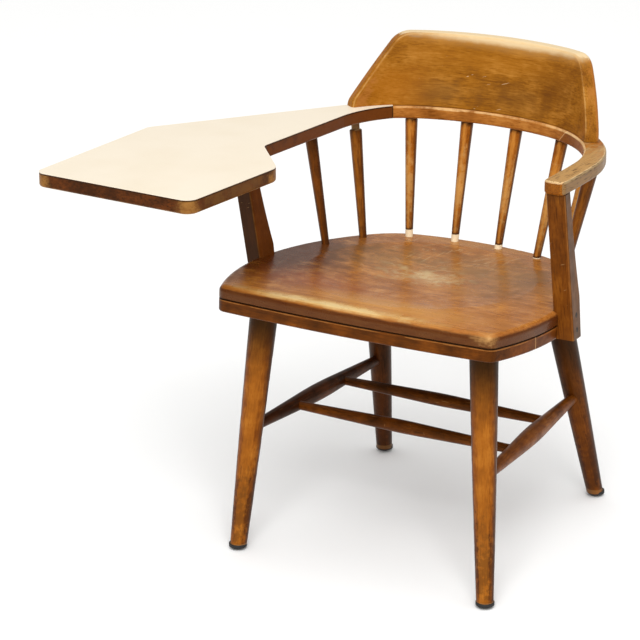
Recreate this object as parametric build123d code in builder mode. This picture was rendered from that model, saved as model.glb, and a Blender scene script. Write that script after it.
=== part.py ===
from build123d import *
import os
from math import acos, asin, cos, degrees, hypot, radians, sin, sqrt, tan

os.makedirs("parts", exist_ok=True)

# Writing arm windsor chair, millimetres, +Z up, the sitter faces -Y.
# X = 0 is the middle of the seat. The writing tablet is on the sitter's right, at -X.
# Every piece is modelled in that frame. At the end the whole chair is set with the middle
# of its outline over the origin and its glides on Z = 0.

# ---------------------------------------------------------------- driving dimensions
# Sides as the sitter names them; each is the sign of its X
left = 1
right = -1
side_names = {left: "left", right: "right"}

# Fits
glue_gap = 0.1  # radial room for glue round a tenon, dowel, screw or nail
end_gap = 0.5  # room under the end of a tenon, dowel or screw

# Seat: a dished board on a layer of rails, both pitched down towards the back
seat_height = 451.0  # top of the board over the origin
seat_pitch = 3.1
board_thickness = 22.0
rail_thickness = 21.5
seat_front = 264.0  # from the origin to the front edge at the middle
seat_front_bow = 10.0
seat_front_half = 239.0
seat_side_half = 272.0
seat_side_y = -85.0  # where the seat is widest
seat_shoulder_half = 152.0
seat_shoulder_y = 190.0
seat_rim = 23.0  # from the spindle line to the back edge
seat_front_radius = 17.0
seat_back_radius = 130.0
seat_top_radius = 11.0
seat_bottom_radius = 3.0
seat_groove = 1.5  # bevel on both sides of the joint between the two layers
dish_depth = 9.0
dish_radius = 2000.0
dish_y = -20.0
front_rail_back_y = -158.0
back_rail_front_y = 97.0
side_rail_width = 70.0
seat_screw_places = ((110.0, -215.0), (235.0, -110.0), (232.0, 30.0), (80.0, 165.0))
seat_screw_bite = 12.0  # into the board

# Legs and glides
front_foot = (224.7, -226.8)
front_leg_top = (193.6, -185.8)
back_foot = (205.1, 256.2)
back_leg_top = (164.6, 142.1)
leg_top_diameter = 45.5
leg_foot_diameter = 27.0
leg_middle_swell = 1.8  # extra diameter half way down, over a straight taper
leg_tenon_diameter = 28.0
leg_tenon_length = 30.0
glide_diameter = 27.0
glide_cushion_height = 3.2
glide_cap_diameter = 22.0
glide_cap_height = 4.2
glide_flat_diameter = 11.0
glide_nail_diameter = 2.6
glide_nail_length = 18.0
glide_edge_radius = 0.8

# Stretchers: one on each side between the legs, two across between the side ones
side_stretcher_front_height = 209.6
side_stretcher_back_height = 199.5
side_stretcher_diameter = 30.5
side_stretcher_end_diameter = 17.5
side_stretcher_past = 7.0  # from the leg's axis to the end of the tenon
side_stretcher_straight = 31.0  # length of the straight end, the tenon included
cross_stretcher_y = (-76.2, 66.5)
cross_stretcher_diameter = 22.8
cross_stretcher_end_diameter = 15.0
cross_stretcher_past = 2.0
cross_stretcher_straight = 21.0
stretcher_belly_radius = 1100.0  # of the round middle between the two tapers
socket_reach = 60.0  # how far a drill runs out of its socket

# Bow: the bent arm and back rail, in plan three tangent arcs on each side
arm_height = 661.0  # top of the bow
bow_thickness = 22.0
bow_width = 36.0
bow_inner_y = 224.0  # inner edge at the middle of the back
bow_back_radius = 380.0
bow_corner_radius = 182.0
bow_arm_radius = 1400.0
bow_arm_half = 238.5  # inner edge of the arm at its widest
arm_end_y = -78.0
arm_end_radius = 11.0
bow_edge_radius = 4.5
joint_angle = 56.0  # place of both bow joints on the corner arc, from the X axis
scarf_length = 21.0
bow_dowel_diameter = 8.0
bow_dowel_length = 26.0
bow_dowel_spacing = 15.0

# Spindles, four on each side of the middle
spindle_base_y = 190.5
spindle_base_radius = 440.0
spindle_corner_radius = 160.0
spindle_corner_half = 216.5  # widest half width of the spindle line on the seat
spindle_base_first = 40.5
spindle_base_pitch = 80.0
spindle_top_stations = (45.5, 142.0, 240.0, 336.0)  # along the middle of the bow
spindle_diameter = 21.2
spindle_base_diameter = 13.0
spindle_base_straight = 4.0  # of the base above the seat
spindle_top_tenon = 14.0
spindle_shoulder_radius = 3.0
spindle_neck = 2.8  # of the tenon in sight under the bow
spindle_base_depth = 15.0
spindle_top_depth = 15.0
spindle_drops = (0.0, 14.5, 0.0, 0.0, 0.0, 0.0, 0.0, 0.0)  # shoulders that slid down

# Crest: the bent board on top of the bow
crest_height = 119.0
crest_thickness = 24.0
crest_setback = 4.0  # behind the inner edge of the bow
crest_lean = 32.0  # how far its top lies behind its foot
crest_end_angle = 34.3  # place of the ends on the corner arc, from the X axis
crest_end_rise = 12.0  # height of the upright part of each end
crest_end_slope = 34.0
crest_waist_radius = 25.0
crest_shoulder_radius = 45.0
crest_edge_radius = 6.0
crest_screw_stations = (94.0, 205.0)
crest_screw_reach = 24.0

# Arm posts, housed in the sides of the seat and screwed: the front inner corner of each, in plan
post_feet = {left: (268.0, -88.0), right: (253.0, -86.0)}
post_tops = {left: (239.0, -73.0), right: (298.0, -74.5)}
post_turns = {left: 3.5, right: 11.5}
post_width = 31.5
post_top_depth = 24.5
post_middle_depth = 27.5
post_knee_depth = 39.0
post_foot_depth = 34.5
post_middle_height = 160.0  # above the foot
post_knee_height = 60.0
post_knee_radius = 25.0
post_edge_radius = 3.5
post_tenon_diameter = 16.0
post_tenon_length = 14.0
post_screw_heights = (11.0, 34.0)
post_screw_reach = 26.0  # into the seat

# Writing tablet: outline corners on the sitter's right
tablet_outer_front = (-466.0, -421.0)
tablet_inner_front = (-177.0, -434.0)
tablet_elbow = (-150.5, -220.0)
tablet_notch = (-228.5, -126.0)
tablet_arm_bend = (-202.0, 94.0)
tablet_arm_middle = (-182.5, 151.0)
tablet_back = (-447.0, -124.0)
tablet_outer_radius = 17.0
tablet_inner_radius = 20.0
tablet_elbow_radius = 25.0
tablet_notch_radius = 22.0
tablet_back_radius = 22.0
tablet_edge_radius = 4.0
laminate_thickness = 1.3

# Glue block in the corner between the right post and the tablet
block_reach = 14.0
block_drop = 12.0
block_length = 22.0

# Screws
screw_diameter = 4.0
screw_head_diameter = 8.5
screw_head_height = 3.0


# ---------------------------------------------------------------- planes and helpers
pitch_sin = sin(radians(seat_pitch))
pitch_cos = cos(radians(seat_pitch))
seat_top = Plane(origin=(0, 0, seat_height), x_dir=(1, 0, 0), z_dir=(0, pitch_sin, pitch_cos))
seat_joint = seat_top.offset(-board_thickness)
seat_under = seat_joint.offset(-rail_thickness)
bow_under = Plane.XY.offset(arm_height - bow_thickness)
bow_top = Plane.XY.offset(arm_height)
leg_end_height = glide_cap_height + glide_cushion_height

pieces = []


def keep(piece, name):
    """Label a finished piece and hold it for the export at the end."""
    piece.label = name
    pieces.append(piece)


def on_plane(x, y, plane):
    """The point of a tilted plane that lies above or below (x, y)."""
    normal = plane.z_dir
    rise = (normal.X * (plane.origin.X - x) + normal.Y * (plane.origin.Y - y)) / normal.Z
    return Vector(x, y, plane.origin.Z + rise)


def lathe_plane(start, end):
    """A plane through an axis: its Y runs along the axis, its X is the radius."""
    along = (end - start).normalized()
    radial = along.cross(Vector(0, 1, 0)).normalized()
    return Plane(origin=start, x_dir=radial, z_dir=radial.cross(along))


def turned(start, end, outline):
    """A turned piece from start to end; outline draws the edge from the axis to the axis."""
    with BuildPart() as piece:
        with BuildSketch(lathe_plane(start, end)):
            with BuildLine():
                outline()
            make_face()
        revolve(axis=Axis(start, end - start))
    return piece.part


def rod(start, end, diameter):
    """A plain round rod, or the drill for its hole."""
    length = (end - start).length
    with BuildPart() as piece:
        with BuildSketch(Plane(origin=start, z_dir=end - start)):
            Circle(diameter / 2)
        extrude(amount=length)
    return piece.part


def screw(start, end):
    """A flat headed screw with its head at start."""
    axis = (end - start).normalized()
    neck = start + axis * screw_head_height
    with BuildPart() as piece:
        with BuildSketch(Plane(origin=start, z_dir=axis)):
            Circle(screw_head_diameter / 2)
        with BuildSketch(Plane(origin=neck, z_dir=axis)):
            Circle(screw_diameter / 2)
        loft()
        with BuildSketch(Plane(origin=neck, z_dir=axis)):
            Circle(screw_diameter / 2)
        extrude(amount=(end - neck).length)
    return piece.part


def screw_hole(start, end):
    """The countersunk hole for a screw, open at start."""
    axis = (end - start).normalized()
    mouth = start - axis * glue_gap
    neck = start + axis * (screw_head_height - glue_gap)
    with BuildPart() as piece:
        with BuildSketch(Plane(origin=mouth - axis * screw_head_height, z_dir=axis)):
            Circle(screw_head_diameter / 2 + glue_gap)
        extrude(amount=screw_head_height)
        with BuildSketch(Plane(origin=mouth, z_dir=axis)):
            Circle(screw_head_diameter / 2 + glue_gap)
        with BuildSketch(Plane(origin=neck, z_dir=axis)):
            Circle(screw_diameter / 2 + glue_gap)
        loft()
        with BuildSketch(Plane(origin=neck, z_dir=axis)):
            Circle(screw_diameter / 2 + glue_gap)
        extrude(amount=(end - neck).length + end_gap)
    return piece.part


# ---------------------------------------------------------------- bow geometry
bow_back_centre = (0, bow_inner_y - bow_back_radius)
bow_corner_x = bow_arm_half - bow_corner_radius
bow_corner_y = bow_back_centre[1] + sqrt((bow_back_radius - bow_corner_radius) ** 2 - bow_corner_x**2)
bow_arm_x = bow_arm_half - bow_arm_radius
bow_turn_angle = degrees(acos(bow_corner_x / (bow_back_radius - bow_corner_radius)))


def bow_path(offset, end_y):
    """Half of the bow's plan at an offset outside its inner edge, from the middle to end_y."""
    arm_angle = degrees(asin((bow_corner_y - end_y) / (bow_arm_radius + offset)))
    CenterArc(bow_back_centre, bow_back_radius + offset, 90, bow_turn_angle - 90)
    CenterArc((bow_corner_x, bow_corner_y), bow_corner_radius + offset, bow_turn_angle, -bow_turn_angle)
    CenterArc((bow_arm_x, bow_corner_y), bow_arm_radius + offset, 0, -arm_angle)


def bow_band(inner, outer):
    """Plan of half the bow between two offsets from its inner edge, on the +X side."""
    with BuildSketch() as band:
        with BuildLine():
            with BuildLine(mode=Mode.PRIVATE) as inside:
                bow_path(inner, arm_end_y)
            with BuildLine(mode=Mode.PRIVATE) as outside:
                bow_path(outer, arm_end_y)
            add(inside.line)
            add(outside.line)
            Line((0, bow_inner_y + inner), (0, bow_inner_y + outer))
            Line(inside.line @ 1, outside.line @ 1)
        make_face()
    return band.sketch


def corner_point(angle, offset, side, height):
    """A point on the bow's corner arc at an angle from the X axis."""
    reach = bow_corner_radius + offset
    x = bow_corner_x + reach * cos(radians(angle))
    y = bow_corner_y + reach * sin(radians(angle))
    return Vector(side * x, y, height)


def corner_tangent(angle, side):
    """The direction along the corner arc, away from the middle of the back."""
    return Vector(side * sin(radians(angle)), -cos(radians(angle)), 0)


with BuildLine() as bow_middle_line:
    bow_path(bow_width / 2, arm_end_y)
bow_middle = bow_middle_line.wire()


def bow_station(distance, side, offset=0.0):
    """A point on the bow's middle line, at a distance from the middle of the back."""
    share = distance / bow_middle.length
    point = bow_middle @ share
    across = (bow_middle % share).cross(Vector(0, 0, 1))
    moved = point - across * offset
    return Vector(side * moved.X, moved.Y, 0)


tablet_joint_face = Plane(
    origin=corner_point(joint_angle, 0, right, arm_height), z_dir=corner_tangent(joint_angle, right)
)
scarf_normal = corner_tangent(joint_angle, left) * bow_thickness - Vector(0, 0, scarf_length)
scarf_face = Plane(origin=corner_point(joint_angle, 0, left, arm_height), z_dir=scarf_normal)

# ---------------------------------------------------------------- spindle line
spindle_centre_y = spindle_base_y - spindle_base_radius
spindle_corner_x = spindle_corner_half - spindle_corner_radius
spindle_reach = spindle_base_radius - spindle_corner_radius
spindle_corner_y = spindle_centre_y + sqrt(spindle_reach**2 - spindle_corner_x**2)
spindle_turn_angle = degrees(acos(spindle_corner_x / spindle_reach))

with BuildLine() as spindle_base_line:
    CenterArc((0, spindle_centre_y), spindle_base_radius, 90, spindle_turn_angle - 90)
    CenterArc(
        (spindle_corner_x, spindle_corner_y),
        spindle_corner_radius,
        spindle_turn_angle,
        -spindle_turn_angle,
    )
spindle_line = spindle_base_line.wire()


def spindle_ends(number, side):
    """Where a spindle's axis meets the top of the seat and the underside of the bow."""
    distance = spindle_base_first + number * spindle_base_pitch
    base = spindle_line @ (distance / spindle_line.length)
    top = bow_station(spindle_top_stations[number], side)
    foot = on_plane(side * base.X, base.Y, seat_top)
    return foot, Vector(top.X, top.Y, arm_height - bow_thickness)


spindle_places = [(number, right) for number in (3, 2, 1, 0)] + [(number, left) for number in range(4)]
spindle_axes = [spindle_ends(number, side) for number, side in spindle_places]


def base_socket(foot, top):
    """The drill for the socket of a spindle in the seat."""
    axis = (top - foot).normalized()
    deep = foot - axis * (spindle_base_depth + end_gap)
    return rod(foot + axis * spindle_base_diameter, deep, spindle_base_diameter + 2 * glue_gap)


def top_socket(foot, top):
    """The drill for the socket of a spindle in the underside of the bow."""
    axis = (top - foot).normalized()
    deep = top + axis * (spindle_top_depth + end_gap)
    return rod(top - axis * spindle_top_tenon, deep, spindle_top_tenon + 2 * glue_gap)


# ---------------------------------------------------------------- leg axes
def leg_axis(foot, top, side):
    """The point on the floor and the point on the underside of the seat of a leg's axis."""
    return Vector(side * foot[0], foot[1], 0), on_plane(side * top[0], top[1], seat_under)


leg_axes = {}
for leg_side in (left, right):
    leg_axes["front", leg_side] = leg_axis(front_foot, front_leg_top, leg_side)
    leg_axes["back", leg_side] = leg_axis(back_foot, back_leg_top, leg_side)


def leg_point(row, side, height):
    """The point on a leg's axis at a height above the floor."""
    foot, top = leg_axes[row, side]
    return foot + (top - foot) * (height / top.Z)


def leg_drill(row, side):
    """The drill for the socket of a leg's tenon in the seat."""
    foot, top = leg_axes[row, side]
    axis = (top - foot).normalized()
    deep = top + axis * (leg_tenon_length + end_gap)
    return rod(top - axis * leg_tenon_diameter, deep, leg_tenon_diameter + 2 * glue_gap)


# ---------------------------------------------------------------- arm posts
def post_back(side):
    """The level direction from the front of a post to its back."""
    turn = radians(post_turns[side])
    return Vector(-side * sin(turn), cos(turn), 0)


def post_frame(side):
    """The plane of a post's inner face: its X runs up the front edge, its Z points outward."""
    foot_x, foot_y = post_feet[side]
    top_x, top_y = post_tops[side]
    foot = on_plane(side * foot_x, foot_y, seat_under)
    up = Vector(side * top_x, top_y, arm_height - bow_thickness) - foot
    return Plane(origin=foot, x_dir=up, z_dir=post_back(side).cross(up) * side), up.length


def post_blank(side, room=0.0):
    """The sawn blank of a post, or its housing in the seat where room is more than nothing."""
    frame, rise = post_frame(side)
    low = -post_foot_depth
    high = rise + post_top_depth
    flare = (post_knee_depth - post_foot_depth) / post_knee_height
    knee = (post_knee_height, -side * (post_knee_depth + room))
    with BuildPart() as blank:
        with BuildSketch(frame.offset(-room)) as face:
            with BuildLine():
                back = ThreePointArc(
                    knee,
                    (post_middle_height, -side * (post_middle_depth + room)),
                    (high, -side * (post_top_depth + room)),
                )
                Polyline(
                    back @ 1,
                    (high, side * room),
                    (low, side * room),
                    (low, -side * (post_foot_depth + flare * low + room)),
                    back @ 0,
                )
            make_face()
            fillet(face.vertices().sort_by_distance((*knee, 0))[0], post_knee_radius)
        extrude(amount=post_width + room)
    return blank.part


# ---------------------------------------------------------------- seat
def seat_outline():
    """The plan of the seat, in the plane of its top."""
    front = -seat_front
    corner_y = front + seat_front_bow
    back = spindle_base_y + seat_rim
    with BuildSketch() as plan:
        with BuildLine():
            ThreePointArc((-seat_front_half, corner_y), (0, front), (seat_front_half, corner_y))
            ThreePointArc(
                (seat_front_half, corner_y),
                (seat_side_half, seat_side_y),
                (seat_shoulder_half, seat_shoulder_y),
            )
            ThreePointArc(
                (seat_shoulder_half, seat_shoulder_y), (0, back), (-seat_shoulder_half, seat_shoulder_y)
            )
            ThreePointArc(
                (-seat_shoulder_half, seat_shoulder_y),
                (-seat_side_half, seat_side_y),
                (-seat_front_half, corner_y),
            )
        make_face()
        fillet(plan.vertices().group_by(Axis.Y)[0], seat_front_radius)
        fillet(plan.vertices().group_by(Axis.Y)[-1], seat_back_radius)
    return plan.sketch


seat_plan = seat_outline()

dish_centre = seat_top * Location((0, dish_y, dish_radius - dish_depth), (90, 0, 0))
housings = [post_blank(side, glue_gap) for side in (left, right)]
front_rail_line = Plane(origin=(0, front_rail_back_y, 0), x_dir=(1, 0, 0), z_dir=(0, 1, 0))
back_rail_line = Plane(origin=(0, back_rail_front_y, 0), x_dir=(1, 0, 0), z_dir=(0, 1, 0))

# Every screw is a pair of points, its head first
post_screws = []
for screw_side in (left, right):
    post_plane, post_rise = post_frame(screw_side)
    for screw_height in post_screw_heights:
        head = post_plane.from_local_coords(
            Vector(screw_height, -screw_side * post_foot_depth / 2, post_width)
        )
        post_screws.append((head, head - post_plane.z_dir * (post_width + post_screw_reach)))

seat_screws = []
for screw_x, screw_y in seat_screw_places:
    for screw_side in (left, right):
        head = on_plane(screw_side * screw_x, screw_y, seat_under)
        seat_screws.append((head, head + seat_top.z_dir * (rail_thickness + seat_screw_bite)))

with BuildPart() as seat_board:
    with BuildSketch(seat_joint):
        add(seat_plan)
    extrude(amount=board_thickness)
    fillet(seat_board.faces().filter_by(seat_top).sort_by(Axis.Z)[-1].edges(), seat_top_radius)
    chamfer(seat_board.faces().filter_by(seat_top).sort_by(Axis.Z)[0].edges(), seat_groove)
    with Locations(dish_centre):
        Sphere(dish_radius, mode=Mode.SUBTRACT)
    for foot, top in spindle_axes:
        add(base_socket(foot, top), mode=Mode.SUBTRACT)
    for row, side in leg_axes:
        add(leg_drill(row, side), mode=Mode.SUBTRACT)
    for housing in housings:
        add(housing, mode=Mode.SUBTRACT)
    for head, tip in seat_screws + post_screws:
        add(screw_hole(head, tip), mode=Mode.SUBTRACT)
keep(seat_board.part, "seat_board")

with BuildPart() as rail_layer:
    with BuildSketch(seat_under):
        add(seat_plan)
    extrude(amount=rail_thickness)
    chamfer(rail_layer.faces().filter_by(seat_top).sort_by(Axis.Z)[-1].edges(), seat_groove)
    fillet(rail_layer.faces().filter_by(seat_top).sort_by(Axis.Z)[0].edges(), seat_bottom_radius)
    for row, side in leg_axes:
        add(leg_drill(row, side), mode=Mode.SUBTRACT)
    for housing in housings:
        add(housing, mode=Mode.SUBTRACT)
    for head, tip in seat_screws + post_screws:
        add(screw_hole(head, tip), mode=Mode.SUBTRACT)

with BuildPart() as seat_front_rail:
    add(rail_layer.part)
    split(bisect_by=front_rail_line, keep=Keep.BOTTOM)
keep(seat_front_rail.part, "seat_front_rail")

with BuildPart() as seat_back_rail:
    add(rail_layer.part)
    split(bisect_by=back_rail_line, keep=Keep.TOP)
keep(seat_back_rail.part, "seat_back_rail")

for side in (left, right):
    inner_x = side * (seat_side_half - side_rail_width)
    inner_line = Plane(origin=(inner_x, 0, 0), x_dir=(0, 1, 0), z_dir=(side, 0, 0))
    with BuildPart() as seat_side_rail:
        add(rail_layer.part)
        split(bisect_by=front_rail_line, keep=Keep.TOP)
        split(bisect_by=back_rail_line, keep=Keep.BOTTOM)
        split(bisect_by=inner_line, keep=Keep.TOP)
    keep(seat_side_rail.part, f"seat_{side_names[side]}_rail")

with BuildPart() as seat_rail_screws:
    for head, tip in seat_screws:
        add(screw(head, tip))
keep(seat_rail_screws.part, "seat_rail_screws")


# ---------------------------------------------------------------- stretchers
def side_stretcher_axis(side):
    """The points where a side stretcher's axis crosses the axes of its two legs."""
    return (
        leg_point("front", side, side_stretcher_front_height),
        leg_point("back", side, side_stretcher_back_height),
    )


def side_stretcher_point(side, y):
    """The point on a side stretcher's axis at a distance y from the origin."""
    front, back = side_stretcher_axis(side)
    return front + (back - front) * ((y - front.Y) / (back.Y - front.Y))


def stretcher(start, end, end_diameter, middle_diameter, straight):
    """A turned stretcher from start to end that swells from two straight ends to its middle."""
    length = (end - start).length
    end_radius = end_diameter / 2

    def outline():
        swell = FilletPolyline(
            (end_radius, straight),
            (middle_diameter / 2, length / 2),
            (end_radius, length - straight),
            radius=stretcher_belly_radius,
        )
        Polyline(swell @ 1, (end_radius, length), (0, length), (0, 0), (end_radius, 0), swell @ 0)

    return turned(start, end, outline)


def socket_drill(inside, outside, diameter):
    """The drill for a stretcher's socket, from a little past its end towards outside."""
    axis = (outside - inside).normalized()
    return rod(inside - axis * end_gap, inside + axis * socket_reach, diameter + 2 * glue_gap)


side_ends = {}
for side in (left, right):
    front, back = side_stretcher_axis(side)
    past = (back - front).normalized() * side_stretcher_past
    side_ends[side] = (front - past, back + past)

cross_ends = []
for cross_y in cross_stretcher_y:
    west = side_stretcher_point(right, cross_y)
    east = side_stretcher_point(left, cross_y)
    past = (east - west).normalized() * cross_stretcher_past
    cross_ends.append((west - past, east + past))

for side in (left, right):
    start, end = side_ends[side]
    with BuildPart() as side_stretcher:
        add(
            stretcher(
                start,
                end,
                side_stretcher_end_diameter,
                side_stretcher_diameter,
                side_stretcher_straight,
            )
        )
        for west, east in cross_ends:
            near, far = (east, west) if side == left else (west, east)
            add(socket_drill(near, far, cross_stretcher_end_diameter), mode=Mode.SUBTRACT)
    keep(side_stretcher.part, f"{side_names[side]}_stretcher")

for (west, east), name in zip(cross_ends, ("front", "back")):
    with BuildPart() as cross_stretcher:
        add(
            stretcher(
                west, east, cross_stretcher_end_diameter, cross_stretcher_diameter, cross_stretcher_straight
            )
        )
    keep(cross_stretcher.part, f"{name}_cross_stretcher")


# ---------------------------------------------------------------- legs and glides
def leg_blank(row, side):
    """A leg turned longer than it is at both ends."""
    foot, top = leg_axes[row, side]
    axis = (top - foot).normalized()
    start = foot - axis * leg_foot_diameter / 2
    end = top + axis * leg_top_diameter / 2
    length = (end - start).length
    slope = (leg_top_diameter - leg_foot_diameter) / 2 / (top - foot).length

    def outline():
        bottom_radius = leg_foot_diameter / 2 - slope * leg_foot_diameter / 2
        top_radius = leg_top_diameter / 2 + slope * leg_top_diameter / 2
        middle_radius = (bottom_radius + top_radius) / 2 + leg_middle_swell / 2
        edge = ThreePointArc((bottom_radius, 0), (middle_radius, length / 2), (top_radius, length))
        Polyline(edge @ 1, (0, length), (0, 0), edge @ 0)

    return turned(start, end, outline)


def leg_body(row, side):
    """A leg with its shoulder under the seat, its tenon, and the holes for stretcher and nail."""
    foot, top = leg_axes[row, side]
    axis = (top - foot).normalized()
    end = 0 if row == "front" else 1
    near, far = side_ends[side][end], side_ends[side][1 - end]
    with BuildPart() as body:
        add(leg_blank(row, side))
        split(bisect_by=seat_under, keep=Keep.BOTTOM)
        split(bisect_by=Plane.XY.offset(leg_end_height), keep=Keep.TOP)
        with BuildSketch(Plane(origin=top - axis * leg_tenon_diameter, z_dir=axis)):
            Circle(leg_tenon_diameter / 2)
        extrude(amount=leg_tenon_diameter + leg_tenon_length)
        add(socket_drill(near, far, side_stretcher_end_diameter), mode=Mode.SUBTRACT)
        with BuildSketch(Plane(origin=(foot.X, foot.Y, leg_end_height), z_dir=(0, 0, 1))):
            Circle(glide_nail_diameter / 2 + glue_gap)
        extrude(amount=glide_nail_length + end_gap, mode=Mode.SUBTRACT)
    return body.part


for row in ("front", "back"):
    with BuildPart() as left_leg:
        add(leg_body(row, left))
    keep(left_leg.part, f"{row}_left_leg")

    with BuildPart() as right_leg:
        mirror(left_leg.part, about=Plane.YZ)
    keep(right_leg.part, f"{row}_right_leg")

for (row, side), (foot, top) in leg_axes.items():
    corner = f"{row}_{side_names[side]}"
    sole = Plane(origin=(foot.X, foot.Y, 0), x_dir=(1, 0, 0), z_dir=(0, 0, 1))
    with BuildPart() as glide_cushion:
        with BuildSketch(sole.offset(glide_cap_height)):
            Circle(glide_diameter / 2)
        extrude(amount=glide_cushion_height)
        fillet(glide_cushion.edges().filter_by(GeomType.CIRCLE), glide_edge_radius)
        with BuildSketch(sole.offset(glide_cap_height)):
            Circle(glide_nail_diameter / 2 + glue_gap)
        extrude(amount=glide_cushion_height, mode=Mode.SUBTRACT)
    keep(glide_cushion.part, f"{corner}_glide_cushion")

    with BuildPart() as glide_cap:
        with BuildSketch(Plane(origin=(foot.X, foot.Y, 0), x_dir=(1, 0, 0), z_dir=(0, -1, 0))):
            with BuildLine():
                flat = Line((0, 0), (glide_flat_diameter / 2, 0))
                dome = TangentArc(flat @ 1, (glide_cap_diameter / 2, glide_cap_height), tangent=(1, 0))
                nail_radius = glide_nail_diameter / 2
                nail_top = leg_end_height + glide_nail_length
                Polyline(
                    dome @ 1,
                    (nail_radius, glide_cap_height),
                    (nail_radius, nail_top - nail_radius),
                    (0, nail_top),
                    (0, 0),
                )
            make_face()
        revolve(axis=Axis((foot.X, foot.Y, 0), (0, 0, 1)))
    keep(glide_cap.part, f"{corner}_glide_cap")


# ---------------------------------------------------------------- spindles
def spindle(foot, top, drop):
    """A spindle that widens upwards to a rounded shoulder under its top tenon."""
    axis = (top - foot).normalized()
    start = foot - axis * spindle_base_depth
    length = (top - start).length + spindle_top_depth
    shoulder = length - spindle_top_depth - spindle_neck - drop

    def outline():
        base_radius = spindle_base_diameter / 2
        neck_radius = spindle_top_tenon / 2
        full_radius = spindle_diameter / 2
        taper = Polyline(
            (0, 0),
            (base_radius, 0),
            (base_radius, spindle_base_depth + spindle_base_straight),
            (full_radius, shoulder - spindle_shoulder_radius),
        )
        corner = full_radius - spindle_shoulder_radius
        round_over = CenterArc((corner, shoulder - spindle_shoulder_radius), spindle_shoulder_radius, 0, 90)
        Polyline(round_over @ 1, (neck_radius, shoulder), (neck_radius, length), (0, length), taper @ 0)

    return turned(start, start + axis * length, outline)


for index, (foot, top) in enumerate(spindle_axes):
    with BuildPart() as back_spindle:
        add(spindle(foot, top, spindle_drops[index]))
    keep(back_spindle.part, f"spindle_{index + 1}")

# ---------------------------------------------------------------- bow
def bow_dowel(side, offset):
    """The ends of a dowel across a bow joint, level and square to the radius there."""
    middle = corner_point(joint_angle, offset, side, arm_height - bow_thickness / 2)
    half = corner_tangent(joint_angle, side) * (bow_dowel_length / 2)
    if side == left:
        middle = middle - corner_tangent(joint_angle, side) * (scarf_length / 2)
    return middle - half, middle + half


dowel_offsets = [bow_width / 2 - bow_dowel_spacing / 2, bow_width / 2 + bow_dowel_spacing / 2]
dowels = {side: [bow_dowel(side, offset) for offset in dowel_offsets] for side in (left, right)}


def dowel_drill(start, end):
    """The drill for both halves of a dowel's hole."""
    axis = (end - start).normalized()
    return rod(start - axis * end_gap, end + axis * end_gap, bow_dowel_diameter + 2 * glue_gap)


crest_middle = crest_setback + crest_thickness / 2
crest_screw_points = []
for screw_station in crest_screw_stations:
    for side in (right, left):
        place = bow_station(screw_station, side, crest_middle - bow_width / 2)
        head = Vector(place.X, place.Y, arm_height - bow_thickness)
        rise = bow_thickness + crest_screw_reach
        crest_screw_points.append((head, head + Vector(0, rise * crest_lean / crest_height, rise)))

post_tenons = {}
for side in (left, right):
    plane, rise = post_frame(side)
    near = plane.from_local_coords(Vector(rise, -side * post_top_depth / 2, post_width / 2))
    shoulder = near + plane.x_dir * ((arm_height - bow_thickness - near.Z) / plane.x_dir.Z)
    post_tenons[side] = (shoulder, shoulder + plane.x_dir * post_tenon_length)


def tenon_drill(start, end):
    """The drill for a post's tenon, from under the arm."""
    axis = (end - start).normalized()
    return rod(start - axis * post_tenon_diameter, end + axis * end_gap, post_tenon_diameter + 2 * glue_gap)


bow_drills = [top_socket(foot, top) for foot, top in spindle_axes]
bow_drills += [dowel_drill(start, end) for side in (left, right) for start, end in dowels[side]]
bow_drills += [screw_hole(head, tip) for head, tip in crest_screw_points]
bow_drills += [tenon_drill(start, end) for start, end in post_tenons.values()]

with BuildPart() as bow_half:
    with BuildSketch(bow_under):
        add(bow_band(0, bow_width))
    extrude(amount=bow_thickness)
    fillet(bow_half.edges().filter_by(Axis.Z).group_by(Axis.Y)[0], arm_end_radius)
    rims = bow_half.faces().filter_by(Plane.XY).edges().filter_by(lambda edge: edge.center().X > glue_gap)
    fillet(rims, bow_edge_radius)

with BuildPart() as centre_rail:
    add(bow_half.part)
    mirror(bow_half.part, about=Plane.YZ)
    split(bisect_by=tablet_joint_face, keep=Keep.BOTTOM)
    split(bisect_by=scarf_face, keep=Keep.BOTTOM)
    for drill in bow_drills:
        add(drill, mode=Mode.SUBTRACT)
keep(centre_rail.part, "centre_rail")

with BuildPart() as left_arm:
    add(bow_half.part)
    split(bisect_by=scarf_face, keep=Keep.TOP)
    for drill in bow_drills:
        add(drill, mode=Mode.SUBTRACT)
keep(left_arm.part, "left_arm")

for side, name in ((right, "tablet_joint_dowels"), (left, "scarf_joint_dowels")):
    with BuildPart() as joint_dowels:
        for start, end in dowels[side]:
            add(rod(start, end, bow_dowel_diameter))
    keep(joint_dowels.part, name)


# ---------------------------------------------------------------- writing tablet
def tablet_outline():
    """The plan of the tablet with the arm that runs back to the bow's joint."""
    joint_inner = corner_point(joint_angle, 0, right, 0)
    joint_outer = corner_point(joint_angle, bow_width, right, 0)
    rounds = (
        (tablet_outer_front, tablet_outer_radius),
        (tablet_inner_front, tablet_inner_radius),
        (tablet_elbow, tablet_elbow_radius),
        (tablet_notch, tablet_notch_radius),
        (tablet_back, tablet_back_radius),
    )
    with BuildSketch() as plan:
        with BuildLine():
            arm = ThreePointArc(joint_inner, tablet_arm_middle, tablet_arm_bend)
            Polyline(
                arm @ 1,
                tablet_notch,
                tablet_elbow,
                tablet_inner_front,
                tablet_outer_front,
                tablet_back,
                joint_outer,
                joint_inner,
            )
        make_face()
        for corner, radius in rounds:
            fillet(plan.vertices().sort_by_distance((*corner, 0))[0], radius)
    return plan.sketch


tablet_plan = tablet_outline()

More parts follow.
